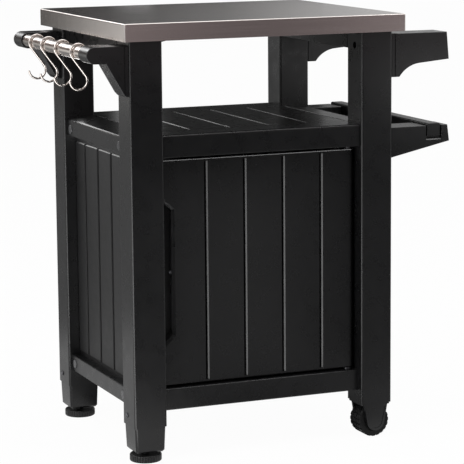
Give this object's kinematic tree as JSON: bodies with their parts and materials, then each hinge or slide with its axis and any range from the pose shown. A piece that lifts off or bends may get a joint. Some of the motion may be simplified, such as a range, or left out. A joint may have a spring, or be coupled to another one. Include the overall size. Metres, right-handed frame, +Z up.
{
  "type": "grill table",
  "caption": "Outdoor grill table: resin cabinet with a planked door on four legs, folded steel top, open shelf, tool bar with hooks, roll and bag brackets, levelling feet and wheels.",
  "frame": {"origin": "floor level, under the middle of the whole object's width and depth", "axes": "+X to the right seen from the door, +Y to the back, +Z up; the door faces -Y"},
  "size_m": [0.8084, 0.542, 0.9],
  "materials": {
    "graphite_resin": "satin moulded resin, near-black graphite",
    "dark_resin": "matt moulded resin, darker",
    "foot_resin": "matt hard resin",
    "brushed_steel": "fine-brushed stainless sheet",
    "polished_steel": "polished bright steel",
    "zinc_steel": "dark zinc-plated steel",
    "magnet": "dark coated magnet plate",
    "rubber_tread": "matt black wheel with a block tread"
  },
  "bodies": {
    "frame": {"steel_top": "brushed_steel", "top_core": "dark_resin", "corner_braces": "dark_resin", "rail_caps": "dark_resin", "jamb_left": "dark_resin", "jamb_right": "dark_resin", "leg_front_left": "graphite_resin", "leg_front_right": "graphite_resin", "leg_rear_left": "graphite_resin", "leg_rear_right": "graphite_resin", "apron_left": "graphite_resin", "apron_right": "graphite_resin", "deck": "graphite_resin", "front_top_rail": "graphite_resin", "rear_top_rail": "graphite_resin", "front_bottom_rail": "graphite_resin", "rear_bottom_rail": "graphite_resin", "side_rail_upper_left": "graphite_resin", "side_rail_upper_right": "graphite_resin", "side_rail_lower_left": "graphite_resin", "side_rail_lower_right": "graphite_resin", "side_panel_left": "graphite_resin", "side_panel_right": "graphite_resin", "back_panel": "graphite_resin", "floor_panel": "graphite_resin", "foot_front_left": "graphite_resin", "foot_rear_left": "graphite_resin", "housing_front_right": "graphite_resin", "housing_rear_right": "graphite_resin", "bar_bracket_front": "graphite_resin", "bar_bracket_rear": "graphite_resin", "roll_bracket_front": "graphite_resin", "roll_bracket_rear": "graphite_resin", "bag_bracket_front": "graphite_resin", "bag_bracket_rear": "graphite_resin", "tool_bar": "polished_steel", "hinge_pin_upper": "zinc_steel", "hinge_pin_lower": "zinc_steel", "axle_front": "zinc_steel", "axle_rear": "zinc_steel", "leg_screws": "zinc_steel", "bracket_bolts": "zinc_steel", "magnet_catch": "magnet"},
    "door": {"door": "graphite_resin", "door_stud": "polished_steel", "door_strike": "brushed_steel"},
    "wheel_front": {"wheel_front": "rubber_tread"},
    "wheel_rear": {"wheel_rear": "rubber_tread"},
    "hook_1": {"hook_1": "polished_steel"},
    "hook_2": {"hook_2": "polished_steel"},
    "hook_3": {"hook_3": "polished_steel"},
    "hook_4": {"hook_4": "polished_steel"},
    "leveller_front": {"leveller_front": "foot_resin"},
    "leveller_rear": {"leveller_rear": "foot_resin"},
    "roll_rod": {"roll_rod": "graphite_resin"},
    "bag_bar": {"bag_bar": "graphite_resin"}
  },
  "joints": [
    {"name": "door_hinge", "type": "hinge", "parent": "frame", "child": "door", "pos_m": [0.18273, -0.205, 0.3845], "axis": [0, 0, 1], "range_deg": [0, 90]},
    {"name": "wheel_front_spin", "type": "hinge", "parent": "frame", "child": "wheel_front", "pos_m": [0.23223, -0.21, 0.035], "axis": [0, 1, 0], "continuous": true},
    {"name": "leveller_front_turn", "type": "hinge", "parent": "frame", "child": "leveller_front", "pos_m": [-0.27777, -0.21, 0.0215], "axis": [0, 0, 1], "continuous": true},
    {"name": "wheel_rear_spin", "type": "hinge", "parent": "frame", "child": "wheel_rear", "pos_m": [0.23223, 0.21, 0.035], "axis": [0, 1, 0], "continuous": true},
    {"name": "leveller_rear_turn", "type": "hinge", "parent": "frame", "child": "leveller_rear", "pos_m": [-0.27777, 0.21, 0.0215], "axis": [0, 0, 1], "continuous": true},
    {"name": "hook_1_swing", "type": "hinge", "parent": "frame", "child": "hook_1", "pos_m": [-0.38377, -0.142, 0.8375], "axis": [0, 1, 0], "range_deg": [-60, 60]},
    {"name": "hook_2_swing", "type": "hinge", "parent": "frame", "child": "hook_2", "pos_m": [-0.38377, -0.0405, 0.8375], "axis": [0, 1, 0], "range_deg": [-60, 60]},
    {"name": "hook_3_swing", "type": "hinge", "parent": "frame", "child": "hook_3", "pos_m": [-0.38377, 0.0515, 0.8375], "axis": [0, 1, 0], "range_deg": [-60, 60]},
    {"name": "hook_4_swing", "type": "hinge", "parent": "frame", "child": "hook_4", "pos_m": [-0.38377, 0.131, 0.8375], "axis": [0, 1, 0], "range_deg": [-60, 60]},
    {"name": "roll_rod_spin", "type": "hinge", "parent": "frame", "child": "roll_rod", "pos_m": [0.35223, 0, 0.826], "axis": [0, 1, 0], "continuous": true},
    {"name": "bag_bar_lift", "type": "slide", "parent": "frame", "child": "bag_bar", "axis": [0, 0, 1], "range_m": [0, 0.03]}
  ]
}
